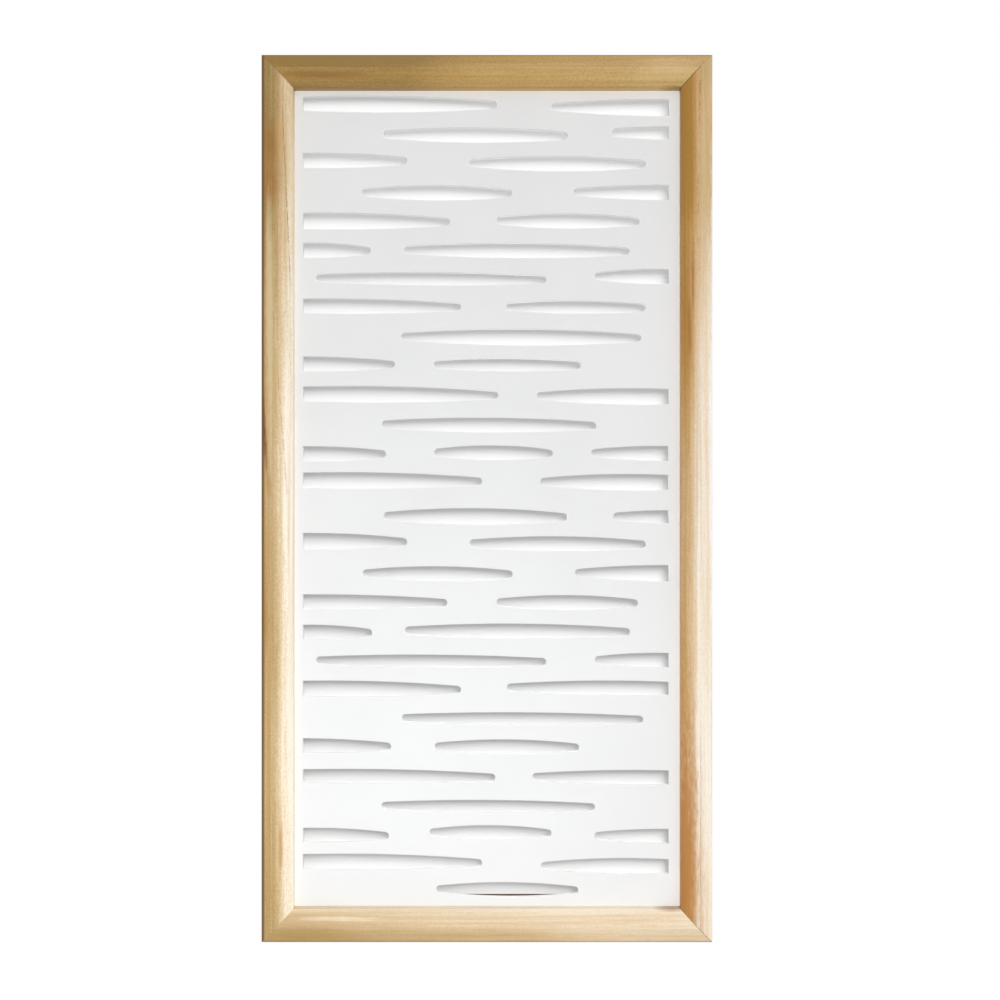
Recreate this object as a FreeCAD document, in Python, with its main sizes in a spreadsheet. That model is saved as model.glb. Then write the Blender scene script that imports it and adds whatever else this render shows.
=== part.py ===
"""Framed divider panel: a mitred wood moulding round a white sheet with lens-shaped slots.

Millimetres. +Z is up, the front faces -Y, and the origin is under the middle of the foot.
"""
import FreeCAD, Part
import math
import os

import Sketcher
from FreeCAD import Placement, Rotation, Vector

doc = FreeCAD.newDocument("divider_panel")

# Driving dimensions
dims = doc.addObject("Spreadsheet::Sheet", "dims")
DIMENSIONS = [
    ("overall_width", 610),
    ("overall_height", 1200),
    ("frame_depth", 38),
    # Moulding section, across its face and back from its front
    ("face_width", 41),
    ("flat_width", 16),
    ("quirk_step", 0.4),
    ("slope_drop", 10.8),
    ("lip_depth", 22),
    ("rabbet_width", 10),
    ("front_arris", 3.5),
    ("back_arris", 2),
    # Slotted sheet, standing on the bottom rabbet
    ("sheet_thickness", 6),
    ("sheet_side_gap", 1),
    ("sheet_top_gap", 2),
    ("border_left", 11),
    ("border_right", 15),
    ("border_ends", 6),
    # Slots: lenses with round ends, in bands of even rows; each leans by some degrees, left end up
    ("slot_slim", 17.5),
    ("slot_regular", 20.5),
    ("slot_full", 22.5),
    ("slot_end_radius", 5.2),
    ("slot_lean", 0.4),
    ("slot_shortest", 30),
    ("first_row_drop", 19.3),
    ("row_pitch", 39.6),
    ("band_pitch", 563.8),
    ("band_rows", 14),
    # Stops behind the sheet: how far each stands past the sight edge
    ("stop_proud", 2),
    ("bottom_stop_proud", 10.5),
    # Brads through the stops
    ("brad_diameter", 1.6),
    ("brad_length", 30),
    ("brad_head_diameter", 2.6),
    ("brad_head_height", 0.9),
    ("brad_point", 2.5),
    ("brad_end_distance", 50),
    ("brad_count_side", 6),
    ("brad_count_end", 4),
    # Biscuits across the mitres
    ("biscuit_length", 47),
    ("biscuit_width", 15),
    ("biscuit_thickness", 4),
    ("biscuit_tip", 4),
    ("biscuit_gap", 0.5),
    ("biscuit_cover", 3),
    # V-nails in the back of the mitres
    ("nail_leg", 7),
    ("nail_thickness", 0.7),
    ("nail_height", 12),
    ("nail_cover", 7),
    ("nail_spacing", 12),
]
for row, (alias, size) in enumerate(DIMENSIONS, start=1):
    dims.set(f"A{row}", alias.replace("_", " "))
    dims.set(f"B{row}", str(size))
    dims.setAlias(f"B{row}", alias)
doc.recompute()

# Lines that several pieces share, as expressions over the sheet
FRONT = "-dims.frame_depth / 2"
BACK = "dims.frame_depth / 2"
SHEET_FRONT = "-dims.frame_depth / 2 + dims.lip_depth"
SHEET_BACK = "-dims.frame_depth / 2 + dims.lip_depth + dims.sheet_thickness"
RABBET_LINE = "(dims.face_width - dims.rabbet_width)"
STOP_DEPTH = "(dims.frame_depth - dims.lip_depth - dims.sheet_thickness)"

# Quarter turns about Y carry the bottom rail and the bottom left corner round the frame, in this order
DEPTH_AXIS = Vector(0, 1, 0)
QUARTER_TURN = 90
MITRE_TURN = QUARTER_TURN / 2
FULL_TURN = 4 * QUARTER_TURN
MEMBERS = [
    ("bottom_rail", "dims.overall_width", "0", "0"),
    ("left_stile", "dims.overall_height", "-dims.overall_width / 2", "dims.overall_height / 2"),
    ("top_rail", "dims.overall_width", "0", "dims.overall_height"),
    ("right_stile", "dims.overall_height", "dims.overall_width / 2", "dims.overall_height / 2"),
]
CORNERS = [
    ("bottom_left", "-1", "-1"),
    ("top_left", "-1", "1"),
    ("top_right", "1", "1"),
    ("bottom_right", "1", "-1"),
]


def value(expression):
    """The number that an expression over the sheet gives."""
    return float(dims.evalExpression(expression))


def bind(item, **expressions):
    """Binds properties of an object to expressions over the sheet."""
    for name, expression in expressions.items():
        item.setExpression(name, expression)


def place(item, rotation, across, depth, height):
    """Turns an object and binds its position to the sheet."""
    item.Placement = Placement(Vector(value(across), value(depth), value(height)), rotation)
    item.setExpression("Placement.Base.x", across)
    item.setExpression("Placement.Base.y", depth)
    item.setExpression("Placement.Base.z", height)


def quarter(number, lean=0):
    """Turn about the depth axis that carries a piece to its side or corner of the frame."""
    return Rotation(DEPTH_AXIS, QUARTER_TURN * number - lean)


def place_at_corner(item, rotation, corner, inset, depth):
    """Places an object on the mitre of a corner, at the same inset from both outer edges."""
    side, end = corner
    across = f"{side} * (dims.overall_width / 2 - {inset})"
    height = f"dims.overall_height / 2 + {end} * (dims.overall_height / 2 - {inset})"
    place(item, rotation, across, depth, height)


def new_body(name):
    return doc.addObject("PartDesign::Body", name)


def new_sketch(body, name, plane_role):
    """An empty sketch on one of the body's own origin planes."""
    sketch = body.newObject("Sketcher::SketchObject", name)
    planes = [item for item in body.Origin.OriginFeatures if item.Role == plane_role]
    sketch.AttachmentSupport = (planes[0], [""])
    sketch.MapMode = "FlatFace"
    return sketch


def bulge_point(start, end, radius):
    """Middle of the arc that bulges to the right of the way from start to end."""
    chord = end - start
    half = chord.Length / 2
    rise = radius - math.sqrt(radius**2 - half**2)
    outward = Vector(chord.y, -chord.x, 0).normalize()
    return (start + end) / 2 + outward * rise


def draw_outline(sketch, corners):
    """Closes an outline through corners, anticlockwise, with each corner bound to the sheet.

    A corner is a pair of expressions. A third one is the radius of an arc that leaves the corner.
    """
    points = [Vector(value(corner[0]), value(corner[1]), 0) for corner in corners]
    edges = []
    for index, corner in enumerate(corners):
        start = points[index]
        end = points[(index + 1) % len(points)]
        if len(corner) == 2:
            edge = sketch.addGeometry(Part.LineSegment(start, end))
        else:
            middle = bulge_point(start, end, value(corner[2]))
            edge = sketch.addGeometry(Part.Arc(start, middle, end))
            radius = sketch.addConstraint(Sketcher.Constraint("Radius", edge, value(corner[2])))
            sketch.setExpression(f"Constraints[{radius}]", corner[2])
        edges.append(edge)
    for index, corner in enumerate(corners):
        edge = edges[index]
        sketch.addConstraint(Sketcher.Constraint("Coincident", edges[index - 1], 2, edge, 1))
        for axis, expression, number in zip("XY", corner[:2], points[index][:2]):
            size = sketch.addConstraint(Sketcher.Constraint(f"Distance{axis}", -1, 1, edge, 1, number))
            sketch.setExpression(f"Constraints[{size}]", expression)


def arc_radius(half_chord, rise):
    """Radius expression of an arc from half its chord and its rise."""
    return f"(({half_chord})^2 + ({rise})^2) / (2 * ({rise}))"


def add_pad(body, sketch, length, symmetric=True):
    pad = body.newObject("PartDesign::Pad", f"{body.Name}_pad")
    pad.Profile = sketch
    pad.SideType = "Symmetric" if symmetric else "One side"
    bind(pad, Length=length)
    return pad


def revolved(name, corners):
    """A body turned about its Z axis from an outline of radius and height."""
    body = new_body(name)
    sketch = new_sketch(body, f"{name}_profile", "XZ_Plane")
    draw_outline(sketch, corners)
    turned = body.newObject("PartDesign::Revolution", f"{name}_turned")
    turned.Profile = sketch
    turned.ReferenceAxis = (sketch, ["V_Axis"])
    turned.Angle = FULL_TURN
    return body


def compound(name, items):
    group = doc.addObject("Part::Compound", name)
    group.Links = items
    return group


def cut(name, base, tools):
    """The named piece: a base with the room for its fasteners taken out."""
    piece = doc.addObject("Part::Cut", name)
    piece.Base = base
    piece.Tool = compound(f"{name}_cuts", tools)
    return piece


# Moulding: one section for all four members, padded along the length and cut to a mitre at each end
MEMBER_LAYS = Rotation(Vector(0, 1, 1), 2 * QUARTER_TURN)


def moulding_section():
    slope_radius = arc_radius("dims.face_width - dims.flat_width", "dims.slope_drop")
    return [
        ("0", f"{FRONT} + dims.front_arris", "dims.front_arris"),
        ("dims.front_arris", FRONT),
        ("dims.flat_width", FRONT),
        ("dims.flat_width", f"{FRONT} + dims.quirk_step", slope_radius),
        ("dims.face_width", f"{FRONT} + dims.quirk_step + dims.slope_drop"),
        ("dims.face_width", SHEET_FRONT),
        (RABBET_LINE, SHEET_FRONT),
        (RABBET_LINE, BACK),
        ("dims.back_arris", BACK, "dims.back_arris"),
        ("0", f"{BACK} - dims.back_arris"),
    ]


def mitre_waste(end, length):
    """Triangle beyond the mitre at one end, -1 or 1, of a member."""
    tip = (f"{end} * {length} / 2", "0")
    inner = (f"{end} * ({length} / 2 - dims.face_width)", "dims.face_width")
    beyond = (f"{end} * {length} / 2", "dims.face_width")
    return [tip, beyond, inner] if end > 0 else [tip, inner, beyond]


def moulding(number, label, length, across, height):
    body = new_body(f"{label}_moulding")
    section = new_sketch(body, f"{label}_section", "YZ_Plane")
    draw_outline(section, moulding_section())
    add_pad(body, section, length)
    waste = new_sketch(body, f"{label}_waste", "XY_Plane")
    for end in (-1, 1):
        draw_outline(waste, mitre_waste(end, length))
    mitres = body.newObject("PartDesign::Pocket", f"{label}_mitres")
    mitres.Profile = waste
    mitres.Type = "ThroughAll"
    mitres.SideType = "Symmetric"
    place(body, quarter(number) * MEMBER_LAYS, across, "0", height)
    return body


mouldings = {member[0]: moulding(number, *member) for number, member in enumerate(MEMBERS)}

# Biscuits: thin lenses of pressed wood, half in each member of a mitre
BISCUIT_LAYS = Rotation(Vector(1, 0, 0), QUARTER_TURN)
BISCUIT_INSET = "dims.face_width / 2"
BISCUIT_DEPTH = f"{SHEET_FRONT} - dims.biscuit_cover - dims.biscuit_thickness / 2"


def biscuit(number, name, corner, gap):
    """A lens plate across the mitre of a corner, larger all round by a gap."""
    length = f"(dims.biscuit_length / 2 + {gap})"
    tip = f"(dims.biscuit_tip / 2 + {gap})"
    rise = "(dims.biscuit_width - dims.biscuit_tip) / 2"
    radius = arc_radius(length, rise)
    body = new_body(name)
    outline = new_sketch(body, f"{name}_outline", "XY_Plane")
    corners = [
        (f"-{length}", f"-{tip}", radius),
        (length, f"-{tip}"),
        (length, tip, radius),
        (f"-{length}", tip),
    ]
    draw_outline(outline, corners)
    add_pad(body, outline, "dims.biscuit_thickness")
    rotation = quarter(number, lean=MITRE_TURN) * BISCUIT_LAYS
    place_at_corner(body, rotation, corner, BISCUIT_INSET, BISCUIT_DEPTH)
    return body


biscuits = {}
biscuit_pockets = {}
for number, (name, *corner) in enumerate(CORNERS):
    biscuits[name] = biscuit(number, f"{name}_biscuit", corner, "0")
    biscuit_pockets[name] = biscuit(number, f"{name}_biscuit_pocket", corner, "dims.biscuit_gap")

# V-nails: bent steel strips driven in from the back, one leg in each member of a mitre
NAIL_DRIVEN = Rotation(Vector(0, 1, -1), 2 * QUARTER_TURN)
INNER_NAIL_INSET = f"({RABBET_LINE} - dims.nail_cover)"
OUTER_NAIL_INSET = f"({RABBET_LINE} - dims.nail_cover - dims.nail_spacing)"


def v_nail(number, name, corner, inset):
    body = new_body(name)
    section = new_sketch(body, f"{name}_section", "XY_Plane")
    corners = [
        ("0", "0"),
        ("dims.nail_leg", "0"),
        ("dims.nail_leg", "dims.nail_thickness"),
        ("dims.nail_thickness", "dims.nail_thickness"),
        ("dims.nail_thickness", "dims.nail_leg"),
        ("0", "dims.nail_leg"),
    ]
    draw_outline(section, corners)
    add_pad(body, section, "dims.nail_height", symmetric=False)
    place_at_corner(body, quarter(number) * NAIL_DRIVEN, corner, inset, BACK)
    return body


v_nails = {}
for number, (name, *corner) in enumerate(CORNERS):
    outer = v_nail(number, f"{name}_outer_nail", corner, OUTER_NAIL_INSET)
    inner = v_nail(number, f"{name}_inner_nail", corner, INNER_NAIL_INSET)
    v_nails[name] = compound(f"{name}_v_nails", [outer, inner])

# Stops: square strips in the rabbet behind the sheet, the side ones butted between the end ones
STOP_LEFT = f"-dims.overall_width / 2 + {RABBET_LINE}"
STOP_RIGHT = "dims.overall_width / 2 - dims.face_width - dims.stop_proud"
STOP_FOOT = "dims.face_width + dims.bottom_stop_proud"
STOP_HEAD = "dims.overall_height - dims.face_width - dims.stop_proud"
END_STOP_LENGTH = f"dims.overall_width - 2 * {RABBET_LINE}"
SIDE_STOP_LENGTH = f"({STOP_HEAD}) - ({STOP_FOOT})"
STOP_WIDTH = "dims.rabbet_width + dims.stop_proud"
BOTTOM_STOP_WIDTH = "dims.rabbet_width + dims.bottom_stop_proud"
STOPS = [
    ("bottom_stop", STOP_LEFT, RABBET_LINE, END_STOP_LENGTH, BOTTOM_STOP_WIDTH),
    ("left_stop", STOP_LEFT, STOP_FOOT, STOP_WIDTH, SIDE_STOP_LENGTH),
    ("top_stop", STOP_LEFT, STOP_HEAD, END_STOP_LENGTH, STOP_WIDTH),
    ("right_stop", STOP_RIGHT, STOP_FOOT, STOP_WIDTH, SIDE_STOP_LENGTH),
]


def stop_strip(label, across, height, width, tall):
    strip = doc.addObject("Part::Box", f"{label}_strip")
    bind(strip, Length=width, Width=STOP_DEPTH, Height=tall)
    place(strip, Rotation(), across, SHEET_BACK, height)
    return strip


stop_strips = {stop[0]: stop_strip(*stop) for stop in STOPS}

# Brads: small nails through each stop's inner edge into the wall of the rabbet
BRAD_DRIVEN = Rotation(Vector(1, 0, 0), 2 * QUARTER_TURN)
BRAD_DEPTH = f"{SHEET_BACK} + {STOP_DEPTH} / 2"
brad = revolved(
    "brad",
    [
        ("0", "0"),
        ("dims.brad_head_diameter / 2", "0"),
        ("dims.brad_head_diameter / 2", "dims.brad_head_height"),
        ("dims.brad_diameter / 2", "dims.brad_head_height"),
        ("dims.brad_diameter / 2", "dims.brad_length - dims.brad_point"),
        ("0", "dims.brad_length"),
    ],
)


def brad_row(number, label, count, head_line, start, length):
    """Brads evenly spaced along a stop, with the end ones at the same distance from its ends."""
    brads = []
    gaps = f"({count} - 1)"
    upright = start == STOP_FOOT
    for step in range(round(value(count))):
        along = f"{start} + dims.brad_end_distance"
        along += f" + {step} / {gaps} * ({length} - 2 * dims.brad_end_distance)"
        link = doc.addObject("App::Link", f"{label}_{step + 1}")
        link.LinkedObject = brad
        across, height = (head_line, along) if upright else (along, head_line)
        place(link, quarter(number) * BRAD_DRIVEN, across, BRAD_DEPTH, height)
        brads.append(link)
    return compound(label, brads)


LEFT_HEADS = "-dims.overall_width / 2 + dims.face_width + dims.stop_proud"
BRAD_ROWS = [
    ("bottom_stop", "dims.brad_count_end", STOP_FOOT, STOP_LEFT, END_STOP_LENGTH),
    ("left_stop", "dims.brad_count_side", LEFT_HEADS, STOP_FOOT, SIDE_STOP_LENGTH),
    ("top_stop", "dims.brad_count_end", STOP_HEAD, STOP_LEFT, END_STOP_LENGTH),
    ("right_stop", "dims.brad_count_side", STOP_RIGHT, STOP_FOOT, SIDE_STOP_LENGTH),
]
brad_rows = {}
for number, (name, *along_stop) in enumerate(BRAD_ROWS):
    brad_rows[name] = brad_row(number, f"{name}_brads", *along_stop)

# Slotted sheet: a blank with every slot cut right through, and the slots clipped at a plain border


def slot(left, right, size="slot_regular", drop=0):
    """Ends of a slot from the sheet's middle, its height by name, and its drop from an even row."""
    return left, right, size, drop


SLIM = "slot_slim"
FULL = "slot_full"
SLOT_ROWS = [
    [slot(-330, 13, FULL, drop=-1.5), slot(88, 390, FULL, drop=3.5)],
    [slot(-142, 110, drop=1.5), slot(171, 315, SLIM, drop=-1.5)],
    [slot(-352, -110, drop=-3.5), slot(-24, 217, drop=1)],
    [slot(-172, 34, drop=1.5), slot(119, 375, drop=1)],
    [slot(-378, -51, FULL, drop=0.5), slot(13, 209, drop=0.5)],
    [slot(-319, -160, drop=1), slot(-114, 195, drop=1.5)],
    [slot(-235, 81, SLIM, drop=0.5), slot(148, 321, drop=-2.5)],
    [slot(-363, -36, drop=-1.5), slot(26, 217, SLIM)],
    [slot(-118, 211, FULL, drop=1.5)],
    [slot(-366, -127, drop=-1.5), slot(-73, 128, SLIM)],
    [slot(-351, 15, FULL, drop=0.5), slot(68, 335, FULL, drop=3.5)],
    [slot(-145, 150, drop=3)],
    [slot(-329, -139, drop=3), slot(-73, 90, drop=1.5), slot(143, 338, drop=2.5)],
    [slot(-356, -7, FULL), slot(73, 320, FULL, drop=2.5)],
    [slot(-142, 110, FULL, drop=0.5), slot(173, 315, SLIM, drop=1)],
    [slot(-352, -110, FULL, drop=-5), slot(-24, 218, drop=-1.5)],
    [slot(-171, 35), slot(121, 375, FULL, drop=-0.5)],
    [slot(-378, -55, drop=-1), slot(13, 207)],
    [slot(-319, -158, drop=1), slot(-113, 196, drop=-0.5)],
    [slot(-235, 81, SLIM, drop=1), slot(148, 321)],
    [slot(-363, -36, FULL, drop=-0.5), slot(27, 327, drop=-1.5)],
    [slot(-117, 214, SLIM, drop=1)],
    [slot(-366, -132, drop=-1.5), slot(-72, 126)],
    [slot(-351, 11, drop=1), slot(62, 361, drop=2.5)],
    [slot(-145, 148, SLIM, drop=2.5)],
    [slot(-329, -135, drop=2.5), slot(-79, 88, drop=-1), slot(147, 338, drop=4)],
    [slot(-356, -7, FULL, drop=-0.5), slot(74, 320, FULL, drop=5.5)],
    [slot(-70, 125, drop=-2)],
]
SIGHT_HALF = "(dims.overall_width / 2 - dims.face_width)"
WINDOW_WIDTH = f"2 * {SIGHT_HALF} - dims.border_left - dims.border_right"
WINDOW_FOOT = "dims.face_width + dims.border_ends"
WINDOW_HEIGHT = f"dims.overall_height - 2 * ({WINDOW_FOOT})"


def lens(left, right, centre, height):
    """Face of a slot: two shallow arcs that run smoothly into round ends, leaning about its middle."""
    end_radius = value("dims.slot_end_radius")
    reach = (right - left) / 2 - end_radius
    arc = (reach**2 + height**2 / 4 - end_radius**2) / (height - 2 * end_radius)
    tangent_x = reach + end_radius * reach / (arc - end_radius)
    tangent_z = end_radius * (arc - height / 2) / (arc - end_radius)
    middle = Vector((left + right) / 2, value(SHEET_FRONT), centre)

    def at(x, z):
        return middle + Vector(x, 0, z)

    upper = Part.Arc(at(-tangent_x, tangent_z), at(0, height / 2), at(tangent_x, tangent_z))
    right_end = Part.Arc(at(tangent_x, tangent_z), at(reach + end_radius, 0), at(tangent_x, -tangent_z))
    lower = Part.Arc(at(tangent_x, -tangent_z), at(0, -height / 2), at(-tangent_x, -tangent_z))
    left_end = Part.Arc(at(-tangent_x, -tangent_z), at(-reach - end_radius, 0), at(-tangent_x, tangent_z))
    edges = [curve.toShape() for curve in (upper, right_end, lower, left_end)]
    face = Part.Face(Part.Wire(edges))
    face.rotate(middle, DEPTH_AXIS, value("dims.slot_lean"))
    return face


def slot_lenses():
    """Every slot that fits the window, row by row from the top; the layout repeats on a taller sheet."""
    window_left = -value(SIGHT_HALF) + value("dims.border_left")
    window_right = value(SIGHT_HALF) - value("dims.border_right")
    window_foot = value(WINDOW_FOOT)
    window_head = window_foot + value(WINDOW_HEIGHT)
    top_row = value("dims.overall_height - dims.face_width - dims.first_row_drop")
    rows_in_band = round(value("dims.band_rows"))
    lenses = []
    row = 0
    row_height = top_row
    while row_height > window_foot:
        for left, right, size, drop in SLOT_ROWS[row % len(SLOT_ROWS)]:
            height = value(f"dims.{size}")
            centre = row_height - drop
            inside = centre - height / 2 > window_foot and centre + height / 2 < window_head
            shown = min(right, window_right) - max(left, window_left)
            if inside and shown > value("dims.slot_shortest"):
                lenses.append(lens(left, right, centre, height))
        row += 1
        band, place_in_band = divmod(row, rows_in_band)
        row_height = top_row - band * value("dims.band_pitch") - place_in_band * value("dims.row_pitch")
    return lenses


through = Vector(0, value("dims.sheet_thickness"), 0)
slot_field = doc.addObject("Part::Feature", "slot_field")
slot_field.Shape = Part.makeCompound([face.extrude(through) for face in slot_lenses()])

slot_window = doc.addObject("Part::Box", "slot_window")
bind(slot_window, Length=WINDOW_WIDTH, Width="dims.sheet_thickness", Height=WINDOW_HEIGHT)
place(slot_window, Rotation(), f"-{SIGHT_HALF} + dims.border_left", SHEET_FRONT, WINDOW_FOOT)

clipped_slots = doc.addObject("Part::Common", "clipped_slots")
clipped_slots.Base = slot_field
clipped_slots.Tool = slot_window

sheet_blank = doc.addObject("Part::Box", "sheet_blank")
SHEET_WIDTH = f"dims.overall_width - 2 * {RABBET_LINE} - 2 * dims.sheet_side_gap"
SHEET_HEIGHT = f"dims.overall_height - 2 * {RABBET_LINE} - dims.sheet_top_gap"
bind(sheet_blank, Length=SHEET_WIDTH, Width="dims.sheet_thickness", Height=SHEET_HEIGHT)
place(sheet_blank, Rotation(), f"{STOP_LEFT} + dims.sheet_side_gap", SHEET_FRONT, RABBET_LINE)

slotted_panel = doc.addObject("Part::Cut", "slotted_panel")
slotted_panel.Base = sheet_blank
slotted_panel.Tool = clipped_slots

# Wood pieces with the room for their fasteners
MEMBER_FITTINGS = [
    ("bottom_rail", "bottom_left", "bottom_right", "bottom_stop"),
    ("left_stile", "bottom_left", "top_left", "left_stop"),
    ("top_rail", "top_left", "top_right", "top_stop"),
    ("right_stile", "top_right", "bottom_right", "right_stop"),
]
pieces = [slotted_panel]
for member, first, second, stop in MEMBER_FITTINGS:
    pockets = [biscuit_pockets[first], biscuit_pockets[second]]
    nails = [v_nails[first], v_nails[second]]
    pieces.append(cut(member, mouldings[member], pockets + nails + [brad_rows[stop]]))
    pieces.append(cut(stop, stop_strips[stop], [brad_rows[stop]]))
pieces += [*biscuits.values(), *v_nails.values(), *brad_rows.values()]
doc.recompute()

# Files
for item in doc.Objects:
    if "Invalid" in item.State or "Error" in item.State:
        raise RuntimeError(f"{item.Label} didn't build: {item.State}")
os.makedirs("parts", exist_ok=True)
for piece in pieces:
    if piece.Shape.isNull() or not piece.Shape.isValid():
        raise RuntimeError(f"{piece.Label} has no valid shape")
    piece.Shape.exportStep(f"parts/{piece.Label}.step")
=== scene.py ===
import math

import bmesh
import bpy
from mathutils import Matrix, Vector


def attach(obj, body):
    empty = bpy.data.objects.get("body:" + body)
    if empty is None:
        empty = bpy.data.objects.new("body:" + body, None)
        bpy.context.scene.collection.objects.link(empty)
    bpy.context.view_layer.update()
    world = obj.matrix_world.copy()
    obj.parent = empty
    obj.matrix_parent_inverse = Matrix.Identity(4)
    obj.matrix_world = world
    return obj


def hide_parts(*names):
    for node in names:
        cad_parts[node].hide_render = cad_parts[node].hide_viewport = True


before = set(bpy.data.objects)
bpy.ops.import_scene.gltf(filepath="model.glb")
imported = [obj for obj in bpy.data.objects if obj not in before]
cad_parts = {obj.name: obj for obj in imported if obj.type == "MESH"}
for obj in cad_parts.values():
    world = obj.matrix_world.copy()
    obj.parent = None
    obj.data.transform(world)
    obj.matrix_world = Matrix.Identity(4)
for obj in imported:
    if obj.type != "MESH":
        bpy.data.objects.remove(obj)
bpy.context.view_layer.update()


# Frame mouldings: two stiles and two rails of pale, straight-grained softwood under a satin lacquer.
# One section (flat band, slight quirk, falling slope, sight wall, rabbet) is run along each length. The ends
# are cut at 45 degrees, so that the four close in glued mitres, and slits in the back take the V-nails.
frame_width = 0.610
frame_height = 1.200
frame_depth = 0.038
face_width = 0.041
flat_width = 0.016
quirk_step = 0.0004
slope_drop = 0.0108
lip_depth = 0.022
rabbet_width = 0.010
front_arris = 0.0035
back_arris = 0.0020
sight_ease = 0.0007
tool_ease = 0.0004
quirk_ease = 0.0003
mitre_ease = 0.00022
mitre_ease_angle = 40
slope_steps = 22
arc_least_steps = 3
arc_steps_a_metre = 1800
nail_leg = 0.007
nail_thickness = 0.0007
nail_depth = 0.012
nail_insets = (0.012, 0.024)
nail_spacing = nail_insets[1] - nail_insets[0]
slit_room = 0.00012
slit_past = 0.001
wave_width = 0.314
grain_sway = (0.0, 0.012, 0.012)
palette_places = (0.0, 0.33, 0.66, 1.0)
dash_fray = 0.6
streak_fray = 0.9
line_wander = 0.002
line_lead = 0.01
line_fade = 0.03
honey_stain = (190, 134, 66)
# Outer arris colour: a dark stain that is partly painted shade on arrises turned from the light.
edge_stain_and_shade = (112, 76, 38)
mitre_stain = (104, 70, 36)
fleck_stain = (128, 88, 48)

slope_width = face_width - flat_width
slope_radius = (slope_width ** 2 + slope_drop ** 2) / (2 * slope_drop)
slope_turn = math.asin(slope_width / slope_radius)


def tint(red, green, blue):
    """A finish colour from its display values, 0 to 255."""
    shares = [value / 255 for value in (red, green, blue)]
    light = [s / 12.92 if s <= 0.04045 else ((s + 0.055) / 1.055) ** 2.4 for s in shares]
    return (*light, 1.0)


def eased_section(corners):
    """A closed section through corners of (depth, width, ease), each eased corner drawn as an arc."""
    outline = []
    for index, (depth, width, ease) in enumerate(corners):
        here = Vector((depth, width))
        if ease == 0:
            outline.append(here)
            continue
        before = (Vector(corners[index - 1][:2]) - here).normalized()
        after = (Vector(corners[(index + 1) % len(corners)][:2]) - here).normalized()
        half = before.angle(after) / 2
        centre = here + (before + after).normalized() * ease / math.sin(half)
        start = here + before * ease / math.tan(half) - centre
        end = here + after * ease / math.tan(half) - centre
        steps = arc_least_steps + round(ease * arc_steps_a_metre)
        for step in range(steps + 1):
            spoke = start.lerp(end, step / steps)
            outline.append(centre + spoke.normalized() * ease)
    return outline


def section_loop(name, corners, depth_middle):
    """The section as a loop of edges, drawn with its depth across and its width downwards."""
    points = [(depth - depth_middle, -width, 0) for depth, width in eased_section(corners)]
    edges = [(index, (index + 1) % len(points)) for index in range(len(points))]
    loop = bpy.data.meshes.new(name)
    loop.from_pydata(points, edges, [])
    return loop


class Feed:
    """What a step of a node tree hands on to others. Sums on it are written as sums."""

    def __init__(self, step, output=0):
        self.step = step
        self.socket = step.outputs[output]
        self.tree = step.id_data

    def by(self, operation, *others):
        """The result of one sum on numbers."""
        return add_step(self.tree, "ShaderNodeMath", dict(enumerate((self, *others))), operation=operation)

    def vector(self, operation, other):
        """The result of one sum on vectors."""
        return add_step(self.tree, "ShaderNodeVectorMath", {0: self, 1: other}, operation=operation)

    def led(self, low, high, to_low, to_high, course="LINEAR"):
        """A number led from one range into another and held at its ends."""
        feeds = {0: self, 1: low, 2: high, 3: to_low, 4: to_high}
        return add_step(self.tree, "ShaderNodeMapRange", feeds, interpolation_type=course)

    def axes(self):
        """The three axes of a vector."""
        step = add_step(self.tree, "ShaderNodeSeparateXYZ", {0: self}).step
        return {axis: Feed(step, axis) for axis in "XYZ"}

    def __add__(self, other):
        return self.by("ADD", other)

    def __sub__(self, other):
        return self.by("SUBTRACT", other)

    def __mul__(self, other):
        return self.by("MULTIPLY", other)

    def __truediv__(self, other):
        return self.by("DIVIDE", other)

    def __neg__(self):
        return self.by("MULTIPLY", -1.0)

    def __rsub__(self, other):
        return -self + other

    def __abs__(self):
        return self.by("ABSOLUTE")


def add_step(tree, kind, feeds=None, output=0, **options):
    """What one step of a node tree hands on, with its options and what feeds its sockets."""
    step = tree.nodes.new(kind)
    for option, choice in options.items():
        setattr(step, option, choice)
    for socket, feed in (feeds or {}).items():
        if isinstance(feed, Feed):
            tree.links.new(feed.socket, step.inputs[socket])
        else:
            step.inputs[socket].default_value = feed
    return Feed(step, output) if step.outputs else None


def vector_of(tree, **axes):
    """A vector put together from the axes that are given."""
    return add_step(tree, "ShaderNodeCombineXYZ", axes)


def shaping_tree(name, inputs):
    """An empty shaping tree with its named inputs, and what they hand on."""
    tree = bpy.data.node_groups.new(name, "GeometryNodeTree")
    for label, kind in inputs:
        tree.interface.new_socket(name=label, in_out="INPUT", socket_type="NodeSocket" + kind)
    tree.interface.new_socket(name="Piece", in_out="OUTPUT", socket_type="NodeSocketGeometry")
    entry = tree.nodes.new("NodeGroupInput")
    return tree, {label: Feed(entry, label) for label, kind in inputs}


def both_shapes(first, second):
    """Two shapes as one."""
    joined = add_step(first.tree, "GeometryNodeJoinGeometry", {0: first})
    first.tree.links.new(second.socket, joined.step.inputs[0])
    return joined


def copies_on(points, shape, **more):
    """One copy of a shape on each point."""
    feeds = {"Points": points, "Instance": shape, **more}
    return add_step(points.tree, "GeometryNodeInstanceOnPoints", feeds)


def rotation_of(tree, turn):
    """A turn about the three axes, as a rotation."""
    return add_step(tree, "FunctionNodeEulerToRotation", {0: turn})


def placed_shape(shape, place, turn):
    """A shape turned and then put in its place."""
    feeds = {"Geometry": shape, "Translation": place, "Rotation": rotation_of(shape.tree, turn)}
    return add_step(shape.tree, "GeometryNodeTransform", feeds)


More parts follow.
